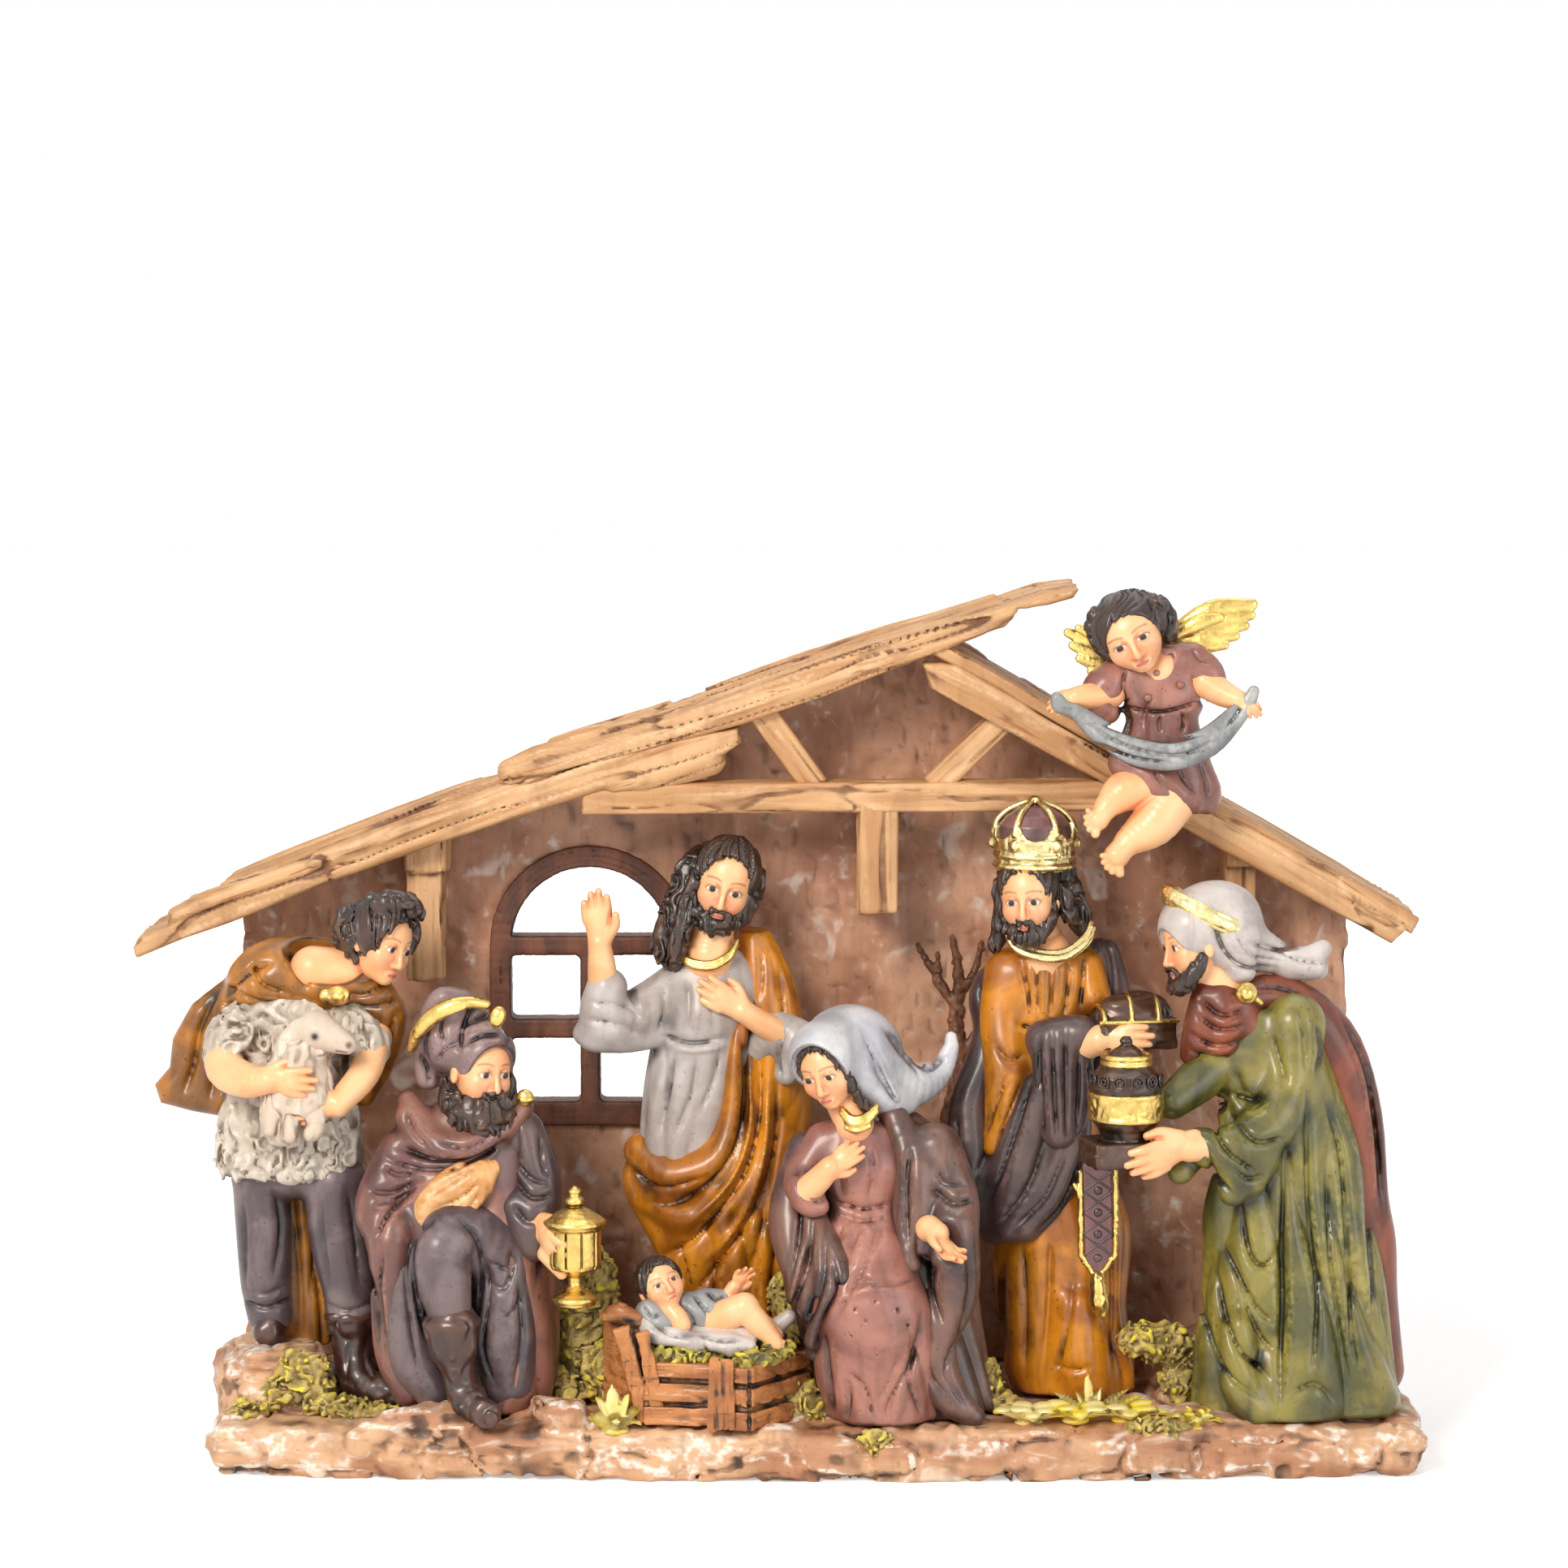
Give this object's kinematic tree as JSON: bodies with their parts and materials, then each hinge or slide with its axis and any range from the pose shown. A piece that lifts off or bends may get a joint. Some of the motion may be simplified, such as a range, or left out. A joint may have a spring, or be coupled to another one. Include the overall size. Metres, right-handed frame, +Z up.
{
  "type": "nativity stable",
  "caption": "Free-standing painted resin group: robed figures round a crib, in front of a stable with a sloping roof and an arched window.",
  "frame": {"origin": "under the middle of the roof span, on the surface the base stands on", "axes": "+X along the stable to the viewer's right, -Y is the side it is seen from, +Z up"},
  "size_m": [0.224, 0.0658, 0.15],
  "materials": {
    "rock": "painted cast resin, matt",
    "plaster": "painted cast resin, matt with a pale dry brush",
    "wood": "painted cast resin, wood grain",
    "dark_wood": "painted cast resin, wood grain",
    "crib_wood": "painted cast resin, wood grain",
    "skin": "painted cast resin, satin",
    "hair": "painted cast resin, satin",
    "ochre": "painted cast resin, satin with a dark wash",
    "grey": "painted cast resin, satin",
    "mauve": "painted cast resin, satin with a dark wash",
    "dark_mauve": "painted cast resin, satin with a dark wash",
    "green": "painted cast resin, satin with a dark wash",
    "rust": "painted cast resin, satin with a dark wash",
    "fleece": "painted cast resin, matt",
    "gold": "gold leaf paint",
    "bronze": "painted cast resin, satin",
    "straw": "painted cast resin, matt",
    "leaf": "painted cast resin, satin"
  },
  "bodies": {
    "root": {"goblet": "gold", "urn": "bronze", "treasure_chest": "bronze", "sash": "dark_mauve", "crown": "gold", "lamb": "fleece", "infant": "skin", "swaddling_cloth": "grey", "straw_bed": "straw", "crib_left_end": "crib_wood", "crib_front": "crib_wood", "crib_right": "crib_wood", "leaf_rosette": "leaf", "joseph_raised_hand": "skin", "joseph_head": "skin", "joseph_hair": "hair", "joseph_robe": "grey", "joseph_mantle": "ochre", "mary_head": "skin", "mary_raised_palm": "skin", "mary_veil": "grey", "mary_dress": "mauve", "mary_cloak": "dark_mauve", "kneeling_head": "skin", "turban": "dark_mauve", "turban_band": "gold", "kneeling_beard": "hair", "kneeling_robe": "mauve", "standing_head": "skin", "standing_hair": "hair", "standing_robe": "ochre", "standing_drape": "dark_mauve", "green_head": "skin", "headscarf": "grey", "green_robe": "green", "green_cloak": "rust", "shepherd_head": "skin", "shepherd_hair": "hair", "shepherd_arm": "skin", "shepherd_fleece": "fleece", "shepherd_cloak": "ochre", "shepherd_trousers": "dark_mauve", "angel_sash": "grey", "angel_head": "skin", "angel_hair": "hair", "angel_dress": "mauve", "angel_wings": "gold", "tie_beam": "wood", "strut_left": "wood", "strut_right": "wood", "centre_post": "wood", "roof_left_upper": "wood", "roof_left_lower": "wood", "roof_right": "wood", "rafter_right": "wood", "bracket_left": "wood", "bracket_right": "wood", "window_frame": "dark_wood", "back_wall": "plaster", "base_plinth": "rock"}
  },
  "joints": []
}
